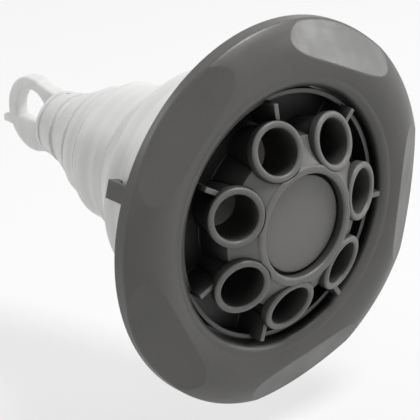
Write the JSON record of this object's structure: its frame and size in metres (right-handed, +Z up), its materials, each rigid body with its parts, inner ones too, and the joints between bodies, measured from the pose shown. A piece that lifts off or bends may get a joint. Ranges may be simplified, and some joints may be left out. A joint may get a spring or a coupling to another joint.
{
  "type": "hot tub jet",
  "caption": "Push-in hot tub jet with a scalloped face ring, a free-spinning massage face with angled ports and a stepped barrel ending in a flat eye.",
  "frame": {"origin": "on the jet's axis, in the plane where the face ring's rim meets the tub wall", "axes": "-Y is the way the face looks, +Y runs back along the barrel, +Z is up in the picture"},
  "size_m": [0.127, 0.1522, 0.127],
  "materials": {
    "grey_plastic": "satin moulded dark grey plastic",
    "port_plastic": "satin moulded grey plastic",
    "white_plastic": "milky translucent moulded plastic",
    "steel": "turned stainless steel",
    "bearing_steel": "ground stainless steel",
    "seal_rubber": "soft black rubber",
    "slip_plastic": "waxy bearing plastic"
  },
  "bodies": {
    "housing": {"escutcheon": "grey_plastic", "bearing_inner_race": "bearing_steel", "spindle": "steel", "thrust_washer_rear": "steel", "thrust_washer_front": "steel", "spindle_clip": "steel", "spindle_washer": "steel", "spindle_nut": "steel", "bearing_carrier": "white_plastic", "carrier_snap_ring": "steel", "guide_ring": "slip_plastic", "face_cup": "white_plastic", "rear_barrel": "white_plastic", "barrel_seal": "seal_rubber", "inlet_plug": "white_plastic", "plug_seal": "seal_rubber", "plug_pins": "steel", "jet_nozzle": "white_plastic"},
    "rotor": {"rotor_face": "port_plastic", "rotor_ports": "port_plastic", "hub_cap": "port_plastic", "bearing_retainer": "port_plastic", "bearing_outer_race": "bearing_steel", "bearing_shield_front": "steel", "bearing_shield_rear": "steel"},
    "ball_set": {"bearing_cage": "slip_plastic", "bearing_balls": "bearing_steel"}
  },
  "joints": [
    {"name": "rotor_spin", "type": "hinge", "parent": "housing", "child": "rotor", "pos_m": [0, 0, 0], "axis": [0, -1, 0], "continuous": true},
    {"name": "cage_orbit", "type": "hinge", "parent": "housing", "child": "ball_set", "pos_m": [0, 0, 0], "axis": [0, -1, 0], "continuous": true}
  ],
  "couplings": [
    {"joint": "cage_orbit", "follows": "rotor_spin", "ratio": 0.632}
  ]
}
